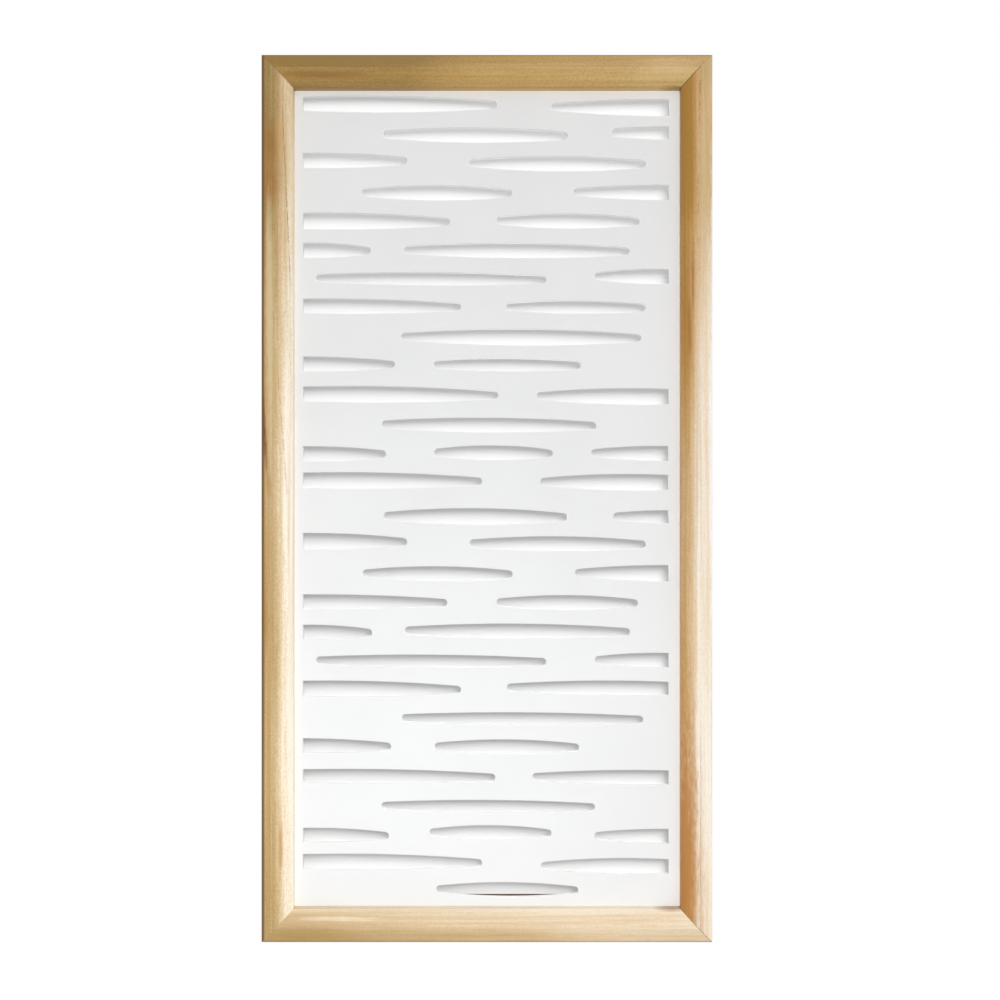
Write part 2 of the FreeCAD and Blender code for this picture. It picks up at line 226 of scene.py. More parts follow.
def close_tree(shape, finish):
    """The end of a shaping tree: real geometry that carries its finish."""
    whole = add_step(shape.tree, "GeometryNodeRealizeInstances", {0: shape})
    finished = add_step(shape.tree, "GeometryNodeSetMaterial", {"Geometry": whole, "Material": finish})
    add_step(shape.tree, "NodeGroupOutput", {0: finished})


def new_object(name, data):
    """A new object in the scene."""
    item = bpy.data.objects.new(name, data)
    bpy.context.scene.collection.objects.link(item)
    return item


def made_piece(name, blank, tree, sizes, ease=0.0, ease_angle=35):
    """A finished piece: the blank shaped by its tree, its sharp edges eased, then kept as a plain mesh."""
    piece = new_object(name, blank)
    shaping = piece.modifiers.new("shaping", "NODES")
    shaping.node_group = tree
    for item in tree.interface.items_tree:
        if item.in_out == "INPUT" and item.name in sizes:
            shaping[item.identifier] = sizes[item.name]
    if ease:
        easing = piece.modifiers.new("easing", "BEVEL")
        easing.width = ease
        easing.segments = 2
        easing.limit_method = "ANGLE"
        easing.angle_limit = math.radians(ease_angle)
        easing.use_clamp_overlap = False
        easing.harden_normals = True
    depsgraph = bpy.context.evaluated_depsgraph_get()
    mesh = bpy.data.meshes.new_from_object(piece.evaluated_get(depsgraph), depsgraph=depsgraph)
    piece.modifiers.clear()
    piece.data = mesh
    mesh.name = name
    return piece


run_inputs = [
    ("Section", "Geometry"), ("Length", "Float"), ("Mitre", "Float"), ("Slits", "Int"),
    ("Turn", "Vector"), ("Place", "Vector"), ("Finish", "Material"),
]
run_tree, run = shaping_tree("moulded_run", run_inputs)
half_run = run["Length"] * 0.5
run_path = add_step(run_tree, "GeometryNodeCurvePrimitiveLine",
                    {"Start": vector_of(run_tree, X=half_run), "End": vector_of(run_tree, X=-half_run)})
run_section = add_step(run_tree, "GeometryNodeMeshToCurve", {"Mesh": run["Section"]})
run_swept = add_step(run_tree, "GeometryNodeCurveToMesh",
                     {"Curve": run_path, "Profile Curve": run_section, "Fill Caps": True})
run_axes = add_step(run_tree, "GeometryNodeInputPosition").axes()
mitre_share = run_axes["Z"] * run["Mitre"] / half_run
mitre_cut = vector_of(run_tree, X=-(run_axes["X"] * mitre_share))
run_mitred = add_step(run_tree, "GeometryNodeSetPosition", {"Geometry": run_swept, "Offset": mitre_cut})

slit_width = nail_thickness + 2 * slit_room
slit_depth = nail_depth + slit_room + slit_past
slit_height = nail_leg + slit_room + slit_past
slit_inset = nail_insets[0] - nail_thickness / 2
slit_level = (frame_depth - nail_depth - slit_room + slit_past) / 2
slit_rise = nail_insets[0] + (slit_past - nail_leg - slit_room) / 2
slit_block = add_step(run_tree, "GeometryNodeMeshCube", {"Size": (slit_width, slit_depth, slit_height)})
slit_first = vector_of(run_tree, X=half_run - slit_inset, Y=slit_level, Z=slit_rise)
slit_row = add_step(run_tree, "GeometryNodeMeshLine",
                    {"Count": run["Slits"], "Start Location": slit_first,
                     "Offset": (-nail_spacing, 0, nail_spacing)})
slit_far_row = add_step(run_tree, "GeometryNodeTransform", {"Geometry": slit_row, "Scale": (-1, 1, 1)})
slit_blocks = copies_on(both_shapes(slit_row, slit_far_row), slit_block)
slit_shapes = add_step(run_tree, "GeometryNodeRealizeInstances", {0: slit_blocks})
run_slit = add_step(run_tree, "GeometryNodeMeshBoolean", {"Mesh 1": run_mitred, "Mesh 2": slit_shapes},
                    operation="DIFFERENCE", solver="EXACT")
close_tree(placed_shape(run_slit, run["Place"], run["Turn"]), run["Finish"])


def blank_tree(owner):
    """The emptied node tree of a finish, a lamp or the surround."""
    owner.use_nodes = True
    owner.node_tree.nodes.clear()
    return owner.node_tree


def spot_in(tree):
    """Each spot's place on the object."""
    return add_step(tree, "ShaderNodeTexCoord", output="Object")


def noise(way, detail, scale=1.0, output=0):
    """Cloudy noise along a way through a finish."""
    return add_step(way.tree, "ShaderNodeTexNoise", {"Vector": way, "Scale": scale, "Detail": detail}, output)


def toned(value, tones):
    """A colour led by a value through tones, each with the place where it stands."""
    colour = add_step(value.tree, "ShaderNodeValToRGB", {0: value})
    elements = colour.step.color_ramp.elements
    for element, (place, tone) in zip(elements, (tones[0], tones[-1])):
        element.position = place
        element.color = tint(*tone)
    for place, tone in tones[1:-1]:
        elements.new(place).color = tint(*tone)
    return colour


def with_stain_or_painted_light(colour, share, stain):
    """A colour with a share of another laid over it, whether a stain or painted light and shade."""
    feeds = {0: share, 6: colour, 7: tint(*stain)}
    return add_step(colour.tree, "ShaderNodeMix", feeds, output=2, data_type="RGBA")


def close_finish(colour, rough, height, strength, depth, **coat):
    """The end of a finish: its colour and roughness on a relief of some strength and depth."""
    swell = {"Strength": strength, "Distance": depth, "Height": height}
    relief = add_step(colour.tree, "ShaderNodeBump", swell)
    feeds = {"Base Color": colour, "Roughness": rough, "Normal": relief}
    for socket, amount in coat.items():
        feeds[socket.replace("_", " ")] = amount
    face = add_step(colour.tree, "ShaderNodeBsdfPrincipled", feeds)
    add_step(colour.tree, "ShaderNodeOutputMaterial", {"Surface": face})


def board_grain(board_way, board):
    """The figures of one board, from its broad clouds and growth rings to its fibres and flecks."""
    shifted = board_way.vector("ADD", board["seed"])

    def figure(stretch, detail, way, output=0):
        return noise(way.vector("MULTIPLY", stretch), detail, output=output)

    sway = figure((1.7, 8.0, 8.0), 1.0, shifted, "Color").vector("SUBTRACT", (0.5, 0.5, 0.5))
    swayed = shifted.vector("ADD", sway.vector("MULTIPLY", grain_sway))
    rings = add_step(board_way.tree, "ShaderNodeTexWave",
                     {"Vector": swayed.vector("ADD", board["pith"]), "Scale": wave_width / board["ring"],
                      "Distortion": 1.6, "Detail": 2.0, "Detail Scale": 0.6},
                     output=1, wave_type="RINGS", rings_direction="X", wave_profile="SAW")
    return {
        "cloud": figure((2.6, 22.0, 22.0), 2.0, swayed),
        "streak": figure((3.2, 210.0, 210.0), 3.0, swayed),
        "fibre": figure((26.0, 1500.0, 1500.0), 2.0, swayed),
        "fleck": figure((70.0, 2300.0, 2300.0), 1.0, shifted),
        "mottle": figure((320.0, 420.0, 420.0), 2.0, shifted),
        "dash": figure((70.0, 300.0, 300.0), 1.0, shifted),
        "honey": figure((1.9, 130.0, 130.0), 2.0, shifted),
        "rings": rings,
    }


def course(share, points):
    """A tone led through a few points along or across the board."""
    tone = add_step(share.tree, "ShaderNodeFloatCurve", {"Value": share})
    mapping = tone.step.mapping
    knots = mapping.curves[0].points
    for point in points[1:-1]:
        knots.new(*point)
    knots[0].location = points[0]
    knots[len(points) - 1].location = points[-1]
    for knot in knots:
        knot.handle_type = "AUTO_CLAMPED"
    mapping.update()
    return tone


def laid_streaks_and_light(colour, board, axes, grain, face_share):
    """A board's colour with its broad, ragged patches, which keep to the face; most are stains, a few painted
    shadows and one a painted highlight.
    """
    even_fray = (dash_fray + streak_fray) / 2
    fray = grain["dash"] * dash_fray + grain["streak"] * streak_fray - even_fray
    for along, half_length, across, half_width, slant, weight, stain in board["streak_and_light_patches"]:
        past_middle = axes["X"] - along
        reach = past_middle / half_length
        rise = (axes["Z"] - past_middle * slant - across) / half_width
        off_middle = (reach * reach + rise * rise).by("SQRT")
        share = (off_middle + fray).led(0.15, 1.05, weight, 0.0, "SMOOTHSTEP")
        colour = with_stain_or_painted_light(colour, share * face_share, stain)
    return colour


def lined(colour, board, axes, grain):
    """A board's colour with its fine, broken dark lines, those along the quirk partly painted shade."""
    broken = grain["dash"].led(0.40, 0.56, 0.15, 1.0)
    for start, end, start_across, end_across, half_width, weight, stain in board["lines"]:
        straight = axes["X"].led(start, end, start_across, end_across)
        middle = straight - line_wander / 2 + grain["mottle"] * line_wander
        off_line = abs(axes["Z"] - middle)
        line = off_line.led(half_width * 0.4, half_width * 1.6, weight, 0.0, "SMOOTHSTEP")
        begun = axes["X"].led(start - line_lead, start + line_fade, 0.0, 1.0)
        unfinished = axes["X"].led(end - line_fade, end + line_lead, 1.0, 0.0)
        colour = with_stain_or_painted_light(colour, line * begun * unfinished * broken, stain)
    return colour


def moulding_wood(name, place, turn, board):
    """Satin-lacquered softwood whose grain runs along one length of moulding, its tones also carrying painted
    shade.
    """
    wood = bpy.data.materials.new(name)
    tree = blank_tree(wood)
    board_frame = {"Vector": spot_in(tree), "Location": place, "Rotation": turn}
    board_way = add_step(tree, "ShaderNodeMapping", board_frame, vector_type="TEXTURE")
    axes = board_way.axes()
    grain = board_grain(board_way, board)

    face_level = -frame_depth / 2
    back_level = frame_depth / 2
    lip_level = face_level + lip_depth
    past_arris = axes["Y"].led(face_level + front_arris * 0.7, face_level + front_arris * 1.3, 0.0, 1.0)
    on_side = past_arris * axes["Z"].led(0.0006, 0.0016, 1.0, 0.0)
    on_back = axes["Y"].led(lip_level, lip_level + lip_depth * 0.2, 0.0, 1.0)
    off_face = on_side.by("MAXIMUM", on_back)
    face_share = 1.0 - off_face

    # The across and along courses set the wood's own tone and painted shade together.
    across = course(axes["Z"] / face_width, board["across"])
    along = course(axes["X"] / board["length"] + 0.5, board["along"])
    tone = (across + along) * face_share + off_face * board["side"]
    weights = {"cloud": 0.64, "streak": 0.48, "rings": 0.06, "fibre": 0.30, "mottle": board["mottle"]}
    for figure, weight in weights.items():
        tone = tone + grain[figure] * weight
    even_tone = 0.5 + sum(weights.values()) / 2
    colour = toned(tone - even_tone, list(zip(palette_places, board["palette"])))

    colour = with_stain_or_painted_light(colour, grain["honey"].led(0.53, 0.70, 0.0, board["honey"]), honey_stain)
    colour = laid_streaks_and_light(colour, board, axes, grain, face_share)
    colour = lined(colour, board, axes, grain)
    # Painted shade with a stain on the outer arris; the right stile, which faces the light, has none.
    edge_weight, edge_reach = board["edge"]
    arris_shade_and_stain_share = axes["Z"].led(edge_reach * 0.4, edge_reach, edge_weight, 0.0, "SMOOTHSTEP")
    colour = with_stain_or_painted_light(colour, arris_shade_and_stain_share * face_share, edge_stain_and_shade)
    mitre_off = board["length"] / 2 - (abs(axes["X"]) + axes["Z"])
    on_mitre = mitre_off.led(0.0003, 0.0012, 1.0, 0.0, "SMOOTHSTEP")
    mitre_levels = [axes["X"].led(-0.01, 0.01, *ends) for ends in board["mitre"]]
    mitre_weight = axes["Z"].led(flat_width - 0.002, flat_width + 0.003, *mitre_levels)
    colour = with_stain_or_painted_light(colour, on_mitre * mitre_weight, mitre_stain)
    colour = with_stain_or_painted_light(colour, grain["fleck"].led(0.62, 0.74, 0.0, 0.24), fleck_stain)

    height = grain["rings"] + grain["fibre"] * 0.5 + grain["streak"] * 0.8
    lacquer = grain["streak"].led(0.3, 0.7, 0.34, 0.50)
    bare_back = axes["Y"].led(back_level - 0.0007, back_level - 0.0002, 0.0, 0.28)
    close_finish(colour, lacquer + bare_back, height, 0.22, 0.0003,
                 Specular_IOR_Level=0.35, Coat_Weight=0.10, Coat_Roughness=0.28)
    return wood


slope_line = [
    (quirk_step + slope_radius * (1 - math.cos(slope_turn * step / slope_steps)),
     flat_width + slope_radius * math.sin(slope_turn * step / slope_steps), 0)
    for step in range(slope_steps)
]
moulding_corners = [
    (0, 0, front_arris),
    (0, flat_width, quirk_ease),
    *slope_line,
    (quirk_step + slope_drop, face_width, sight_ease),
    (lip_depth, face_width, tool_ease),
    (lip_depth, face_width - rabbet_width, 0),
    (frame_depth, face_width - rabbet_width, tool_ease),
    (frame_depth, 0, back_arris),
]
# Each board's palette and tone courses give its own colour together with painted shade: the top rail darker
# and the bottom rail paler, the left and bottom slopes paler and the right slope darker as they face the
# light or turn from it, and the frame darker towards its upper left.
boards = {
    "bottom_rail": {
        "length": frame_width,
        "palette": [(244, 229, 205), (225, 202, 168), (203, 174, 130), (175, 146, 92)],
        "across": [
            (0.0, 0.70), (0.15, 0.62), (0.25, 0.58), (0.38, 0.46), (0.71, 0.36), (0.87, 0.24), (1.0, 0.0),
        ],
        "along": [
            (0.0, 0.82), (0.20, 0.76), (0.33, 0.66), (0.60, 0.50), (0.73, 0.38), (0.86, 0.34), (1.0, 0.26),
        ],
        "seed": (0.3, 1.7, 0.4), "pith": (0, 0.05, 0.09), "ring": 0.0042,
        "honey": 0.12, "mottle": 0.24, "side": 0.86,
        "edge": (0.85, 0.0024), "mitre": ((0.0, 0.45), (0.0, 0.45)),
        "streak_and_light_patches": [
            (-0.250, 0.090, 0.009, 0.013, 0.0, 0.80, (170, 140, 80)),
            (-0.200, 0.080, 0.0315, 0.0038, 0.0, 0.55, (247, 228, 196)),
            # Painted shadow in the inner corner at the sight edge, by the right stile.
            (0.252, 0.028, 0.041, 0.0028, 0.0, 0.65, (150, 102, 50)),
        ],
        "lines": [],
    },
    "right_stile": {
        "length": frame_height,
        "palette": [(250, 239, 222), (229, 202, 163), (205, 160, 98), (180, 133, 56)],
        "across": [
            (0.0, 0.02), (0.20, 0.16), (0.46, 0.12), (0.60, 0.31), (0.73, 0.50), (0.86, 0.57), (1.0, 0.62),
        ],
        "along": [
            (0.0, 0.50), (0.50, 0.50), (0.63, 0.59), (0.72, 0.73), (0.80, 0.83), (0.86, 1.0), (1.0, 1.0),
        ],
        "seed": (4.1, 0.2, 2.6), "pith": (0, 0.06, -0.10), "ring": 0.0048,
        "honey": 0.30, "mottle": 0.30, "side": 0.80,
        "edge": (0.0, 0.003), "mitre": ((0.45, 0.0), (0.50, 0.85)),
        "streak_and_light_patches": [
            (-0.500, 0.30, 0.035, 0.025, 0.0, 0.85, (184, 117, 36)),
            (0.235, 0.11, 0.033, 0.009, 0.0, 0.60, (182, 126, 54)),
            (0.450, 0.20, 0.008, 0.016, 0.0, 0.55, (206, 180, 126)),
            (0.280, 0.16, 0.003, 0.011, 0.0, 0.60, (243, 230, 206)),
            # Painted highlight along the outer arris.
            (0.120, 0.60, 0.000, 0.0055, 0.0, 1.0, (254, 250, 244)),
            (0.268, 0.050, 0.0285, 0.0050, 0.0, 0.50, (206, 160, 100)),
            (0.300, 0.070, 0.0262, 0.0026, 0.0, 0.55, (150, 100, 40)),
            (0.235, 0.050, 0.0310, 0.0024, 0.010, 0.50, (152, 102, 42)),
            (0.585, 0.060, 0.008, 0.014, 0.0, 0.70, (186, 156, 88)),
        ],
        "lines": [
            # Dark lines along the quirk: partly painted shade of the quirk step, partly lacquer pooled in it.
            (-0.60, -0.27, 0.0163, 0.0163, 0.0004, 0.45, (110, 72, 36)),
            (0.330, 0.592, 0.0200, 0.0170, 0.0006, 0.38, (124, 84, 38)),
            (0.525, 0.592, 0.0178, 0.0168, 0.0005, 0.55, (104, 66, 26)),
        ],
    },
    "top_rail": {
        "length": frame_width,
        "palette": [(223, 190, 130), (203, 164, 97), (180, 144, 77), (150, 117, 56)],
        "across": [
            (0.0, 0.70), (0.17, 0.63), (0.28, 0.60), (0.40, 0.50), (0.53, 0.38), (0.86, 0.29), (1.0, 0.36),
        ],
        "along": [
            (0.0, 0.30), (0.14, 0.33), (0.22, 0.45), (0.47, 0.50), (0.60, 0.70), (0.72, 0.94), (1.0, 0.92),
        ],
        "seed": (7.7, 3.1, 1.2), "pith": (0, 0.04, 0.12), "ring": 0.0038,
        "honey": 0.15, "mottle": 0.56, "side": 0.60,
        "edge": (0.45, 0.0030), "mitre": ((0.0, 0.0), (0.65, 0.15)),
        "streak_and_light_patches": [
            # Painted shadow line along the sight edge near the top right corner.
            (-0.262, 0.030, 0.041, 0.003, 0.0, 0.60, (120, 92, 40)),
            (0.225, 0.090, 0.0265, 0.007, 0.0, 0.80, (150, 108, 46)),
            (-0.250, 0.060, 0.018, 0.018, 0.0, 0.55, (224, 192, 136)),
        ],
        "lines": [],
    },
    "left_stile": {
        "length": frame_height,
        "palette": [(251, 239, 219), (219, 194, 152), (188, 159, 106), (155, 126, 68)],
        "across": [
            (0.0, 0.70), (0.21, 0.63), (0.35, 0.60), (0.48, 0.54), (0.61, 0.38), (0.74, 0.20), (1.0, 0.02),
        ],
        "along": [
            (0.0, 0.80), (0.13, 0.76), (0.165, 0.62), (0.20, 0.55), (0.28, 0.46), (0.90, 0.50), (1.0, 0.52),
        ],
        "seed": (2.2, 5.3, 3.8), "pith": (0, 0.07, -0.08), "ring": 0.0045,
        "honey": 0.34, "mottle": 0.42, "side": 0.80,
        "edge": (0.95, 0.0061), "mitre": ((0.0, 0.0), (0.15, 0.0)),
        "streak_and_light_patches": [
            (-0.500, 0.080, 0.002, 0.011, 0.0, 0.45, (142, 112, 52)),
            (-0.455, 0.080, 0.010, 0.021, 0.0, 0.50, (172, 132, 70)),
            (-0.482, 0.040, 0.014, 0.014, 0.0, 0.75, (156, 104, 34)),
            (-0.426, 0.045, 0.012, 0.014, 0.0, 0.75, (162, 110, 42)),
            (-0.490, 0.050, 0.0250, 0.0090, 0.0, 0.55, (190, 148, 80)),
            (-0.440, 0.140, 0.041, 0.009, 0.0, 0.65, (243, 226, 196)),
            (-0.240, 0.200, 0.0110, 0.0110, 0.0, 0.75, (222, 197, 152)),
            (-0.130, 0.100, 0.0205, 0.0050, 0.060, 0.45, (206, 166, 106)),
            (-0.190, 0.070, 0.0000, 0.0040, 0.0, 0.80, (132, 90, 36)),
            (-0.100, 0.085, 0.0034, 0.0048, 0.060, 1.0, (118, 72, 20)),
            (-0.020, 0.030, 0.0100, 0.0050, 0.060, 0.55, (178, 134, 70)),
            (0.165, 0.055, 0.0050, 0.0055, 0.0, 0.65, (168, 126, 62)),
            (0.490, 0.120, 0.0000, 0.0055, 0.0, 0.95, (138, 102, 48)),
            (0.380, 0.050, 0.013, 0.004, 0.0, 0.40, (196, 156, 86)),
            (0.472, 0.045, 0.026, 0.0036, 0.0, 0.65, (188, 136, 68)),
        ],
        "lines": [
            (-0.548, -0.280, 0.0275, 0.0385, 0.0004, 0.70, (104, 66, 30)),
            (-0.205, 0.010, 0.0197, 0.0352, 0.0008, 0.38, (156, 106, 52)),
        ],
    },
}
frame_places = [
    ("bottom_rail", frame_width, (0, 0, 0)),
    ("right_stile", frame_height, (frame_width / 2, 0, frame_height / 2)),
    ("top_rail", frame_width, (0, 0, frame_height)),
    ("left_stile", frame_height, (-frame_width / 2, 0, frame_height / 2)),
]
for quarter, (member, length, place) in enumerate(frame_places):
    turn = (0, -math.pi / 2 * quarter, 0)
    finish = moulding_wood(member + "_wood", place, turn, boards[member])
    section = section_loop(member + "_section", moulding_corners, frame_depth / 2)
    moulding = made_piece(
        member + "_moulding", section, run_tree,
        {"Length": length, "Mitre": 1.0, "Slits": len(nail_insets), "Turn": turn, "Place": place,
         "Finish": finish},
        ease=mitre_ease, ease_angle=mitre_ease_angle)
    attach(moulding, "root")
    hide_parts(member)


# Biscuits: an oval wafer of pressed beech across each mitre, glued into slots in both lengths.
# They keep their solid's shape and carry the wafer's stamped, compressed grain.
def stretched(way, scale, turn=(0, 0, 0), move=(0, 0, 0)):
    """A way through a finish, stretched, turned and moved."""
    feeds = {"Vector": way, "Location": move, "Rotation": turn, "Scale": scale}
    return add_step(way.tree, "ShaderNodeMapping", feeds)


beech = bpy.data.materials.new("pressed_beech")
beech_spot = spot_in(blank_tree(beech))
beech_grain = noise(stretched(beech_spot, (220.0, 900.0, 900.0), (0, math.pi / 4, 0)), 4.0)
beech_stamp = add_step(beech_spot.tree, "ShaderNodeTexChecker", {"Vector": beech_spot, "Scale": 420.0},
                       output=1)
beech_colour = toned(beech_grain, [(0.30, (178, 132, 92)), (0.72, (214, 176, 136))])
close_finish(beech_colour, 0.72, beech_stamp * 0.5 + beech_grain, 0.4, 0.0002)
for corner in ("top_left", "top_right", "bottom_left", "bottom_right"):
    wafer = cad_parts[corner + "_biscuit"]
    wafer.data.materials.clear()
    wafer.data.materials.append(beech)


# V-nails: bent strips of hardened steel, two behind each corner, pressed into the back across the mitre.
# Each is a thin right-angled strip with its two legs towards the outer edges, so it draws the mitre shut.
nail_sunk = 0.0003
nail_ease = 0.00008
oxide_drop = 26


def nail_strip(name):
    """One V-nail: a strip with two legs at a right angle, driven just below the back face."""
    bend = [
        (0, 0), (-nail_leg, 0), (-nail_leg, -nail_thickness), (-nail_thickness, -nail_thickness),
        (-nail_thickness, -nail_leg), (0, -nail_leg),
    ]
    strip = bmesh.new()
    back_level = frame_depth / 2 - nail_sunk
    back_end = strip.faces.new([strip.verts.new((x, back_level, z)) for x, z in bend])
    pushed = bmesh.ops.extrude_face_region(strip, geom=[back_end])
    driven = [part for part in pushed["geom"] if isinstance(part, bmesh.types.BMVert)]
    bmesh.ops.translate(strip, verts=driven, vec=(0, nail_sunk - nail_depth, 0))
    bmesh.ops.recalc_face_normals(strip, faces=strip.faces)
    blank = bpy.data.meshes.new(name)
    strip.to_mesh(blank)
    strip.free()
    return blank


nail_inputs = [
    ("Nail", "Geometry"), ("First inset", "Float"), ("Spacing", "Float"), ("Turn", "Vector"),
    ("Place", "Vector"), ("Finish", "Material"),
]
nail_tree, nail = shaping_tree("corner_v_nails", nail_inputs)
nail_first = vector_of(nail_tree, X=nail["First inset"], Z=nail["First inset"])
nail_pitch = vector_of(nail_tree, X=nail["Spacing"], Z=nail["Spacing"])
nail_points = add_step(nail_tree, "GeometryNodeMeshLine",
                       {"Count": len(nail_insets), "Start Location": nail_first, "Offset": nail_pitch})
nail_pair = copies_on(nail_points, nail["Nail"])
close_tree(placed_shape(nail_pair, nail["Place"], nail["Turn"]), nail["Finish"])

nail_corners = [
    ("bottom_left", (-frame_width / 2, 0, 0)),
    ("bottom_right", (frame_width / 2, 0, 0)),
    ("top_right", (frame_width / 2, 0, frame_height)),
    ("top_left", (-frame_width / 2, 0, frame_height)),
]


def bare_steel(name, shade, rough):
    """Drawn steel wire or strip with fine scratches along it and a dull, uneven oxide."""
    steel = bpy.data.materials.new(name)
    spot = spot_in(blank_tree(steel))
    cloud = noise(spot, 3.0, 900.0)
    scratch = noise(stretched(spot, (4000.0, 300.0, 4000.0)), 2.0)
    oxide = [value - oxide_drop for value in shade]
    colour = toned(cloud, [(0.35, oxide), (0.65, shade)])
    roughness = scratch.led(0.3, 0.7, rough - 0.08, rough + 0.12)
    close_finish(colour, roughness, scratch, 0.2, 0.00005, Metallic=1.0)
    return steel


nail_steel = bare_steel("v_nail_steel", (150, 150, 152), 0.42)
for quarter, (corner, place) in enumerate(nail_corners):
    nails = made_piece(
        corner + "_corner_nails", nail_strip(corner + "_v_nail"), nail_tree,
        {"First inset": nail_insets[0], "Spacing": nail_spacing,
         "Turn": (0, -math.pi / 2 * quarter, 0), "Place": place, "Finish": nail_steel},
        ease=nail_ease)
    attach(nails, "root")
    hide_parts(corner + "_v_nails")


# Slotted sheet: one white-lacquered board, laid in the rabbet from behind, pierced by rows of long slots.
# The slots lean slightly, swell in the middle, end in a round and stop square at the margins. The rows
# repeat in two bands, each slot given by its two ends, its height and how far it lies below its row.
sheet_thickness = 0.006
sheet_back = 0.009
sheet_low = (-0.273, 0.031)
sheet_high = (0.273, 1.167)
margin_left = -0.253
margin_right = 0.249
slot_end_radius = 0.0052
slot_lean = math.radians(0.4)
slot_run_points = 16
slot_blank_radius = 0.001
sheet_ease = 0.0005
sheet_ease_angle = 60
weld_distance = 0.00001
millimetres = 1000
first_row_drop = 0.0193
first_row = frame_height - face_width - first_row_drop
row_pitch = 0.0396
rows_in_band = 14
band_pitch = 0.5638
slim = 0.0175
usual = 0.0205
full = 0.0225
slot_rows = [
    [(-330, 13, full, -1.5), (88, 390, full, 3.5)],
    [(-142, 110, usual, 1.5), (171, 315, slim, -1.5)],
    [(-352, -110, usual, -3.5), (-24, 217, usual, 1)],
    [(-172, 34, usual, 1.5), (119, 375, usual, 1)],
    [(-378, -51, full, 0.5), (13, 209, usual, 0.5)],
    [(-319, -160, usual, 1), (-114, 195, usual, 1.5)],
    [(-235, 81, slim, 0.5), (148, 321, usual, -2.5)],
    [(-363, -36, usual, -1.5), (26, 217, slim, 0)],
    [(-118, 211, full, 1.5)],
    [(-366, -127, usual, -1.5), (-73, 128, slim, 0)],
    [(-351, 15, full, 0.5), (68, 335, full, 3.5)],
    [(-145, 150, usual, 3)],
    [(-329, -139, usual, 3), (-73, 90, usual, 1.5), (143, 338, usual, 2.5)],
    [(-356, -7, full, 0), (73, 320, full, 2.5)],
    [(-142, 110, full, 0.5), (173, 315, slim, 1)],
    [(-352, -110, full, -5), (-24, 218, usual, -1.5)],
    [(-171, 35, usual, 0), (121, 375, full, -0.5)],
    [(-378, -55, usual, -1), (13, 207, usual, 0)],
    [(-319, -158, usual, 1), (-113, 196, usual, -0.5)],
    [(-235, 81, slim, 1), (148, 321, usual, 0)],
    [(-363, -36, full, -0.5), (27, 327, usual, -1.5)],
    [(-117, 214, slim, 1)],
    [(-366, -132, usual, -1.5), (-72, 126, usual, 0)],
    [(-351, 11, usual, 1), (62, 361, usual, 2.5)],
    [(-145, 148, slim, 2.5)],
    [(-329, -135, usual, 2.5), (-79, 88, usual, -1), (147, 338, usual, 4)],
    [(-356, -7, full, -0.5), (74, 320, full, 5.5)],
    [(-70, 125, usual, -2)],
]
slot_centres = []
slot_half_lengths = []
slot_heights = []
for row, slots in enumerate(slot_rows):
    band, place_in_band = divmod(row, rows_in_band)
    row_level = first_row - band * band_pitch - place_in_band * row_pitch
    for left, right, height, drop in slots:
        slot_centres.append(((left + right) / 2 / millimetres, row_level - drop / millimetres, 0))
        slot_half_lengths.append((right - left) / 2 / millimetres)
        slot_heights.append(height)
slot_marks = bpy.data.meshes.new("slot_marks")
slot_marks.from_pydata(slot_centres, [], [])
slot_marks.attributes.new("half_length", "FLOAT", "POINT").data.foreach_set("value", slot_half_lengths)
slot_marks.attributes.new("height", "FLOAT", "POINT").data.foreach_set("value", slot_heights)
slot_marks.attributes.new("centre", "FLOAT_VECTOR", "POINT").data.foreach_set(
    "vector", [value for centre in slot_centres for value in centre])

sheet_inputs = [
    ("Slot marks", "Geometry"), ("End radius", "Float"), ("Lean", "Float"), ("Points in a run", "Int"),
    ("Left margin", "Float"), ("Right margin", "Float"), ("Low corner", "Vector"), ("High corner", "Vector"),
    ("Thickness", "Float"), ("Back face", "Float"), ("Finish", "Material"),
]
sheet_tree, sheet = shaping_tree("slotted_sheet", sheet_inputs)


def slot_choice(condition, otherwise, chosen):
    """One of two sizes, chosen by a condition."""
    feeds = {0: condition, 1: otherwise, 2: chosen}
    return add_step(sheet_tree, "GeometryNodeSwitch", feeds, input_type="FLOAT")


def slot_mark(name, kind="FLOAT"):
    """A size that is kept with each slot's mark."""
    return add_step(sheet_tree, "GeometryNodeInputNamedAttribute", {"Name": name}, data_type=kind)


loop_points = sheet["Points in a run"] * 4.0
slot_loop = add_step(sheet_tree, "GeometryNodeCurvePrimitiveCircle",
                     {"Resolution": loop_points, "Radius": slot_blank_radius})
slot_loops = copies_on(sheet["Slot marks"], slot_loop)
slot_lines = add_step(sheet_tree, "GeometryNodeRealizeInstances", {0: slot_loops})
centre = slot_mark("centre", "FLOAT_VECTOR").axes()
height = slot_mark("height")
half_height = height * 0.5
end_radius = sheet["End radius"]
reach = slot_mark("half_length") - end_radius
swell_top = reach * reach + half_height * half_height - end_radius * end_radius
swell_radius = swell_top / (height - end_radius * 2.0)
end_share = reach / (swell_radius - end_radius)
end_lean = end_share.by("ARCSINE")
tangent = swell_radius * end_share
room_left = sheet["Left margin"] - centre["X"]
room_right = sheet["Right margin"] - centre["X"]
arc_left = room_left.by("MAXIMUM", -tangent)
arc_right = room_right.by("MINIMUM", tangent)

loop_index = add_step(sheet_tree, "GeometryNodeInputIndex").by("FLOORED_MODULO", loop_points)
run_place = loop_index / sheet["Points in a run"]
run_number = run_place.by("FLOOR")
run_share = run_place - run_number
is_end = run_number.by("FLOORED_MODULO", 2.0)
is_second_half = run_number.by("GREATER_THAN", 1.5)
side = is_second_half * -2.0 + 1.0


def swell_at(offset):
    """Half the slot's height at an offset from its middle."""
    fall = swell_radius * swell_radius - offset * offset
    return fall.by("SQRT") - (swell_radius - half_height)


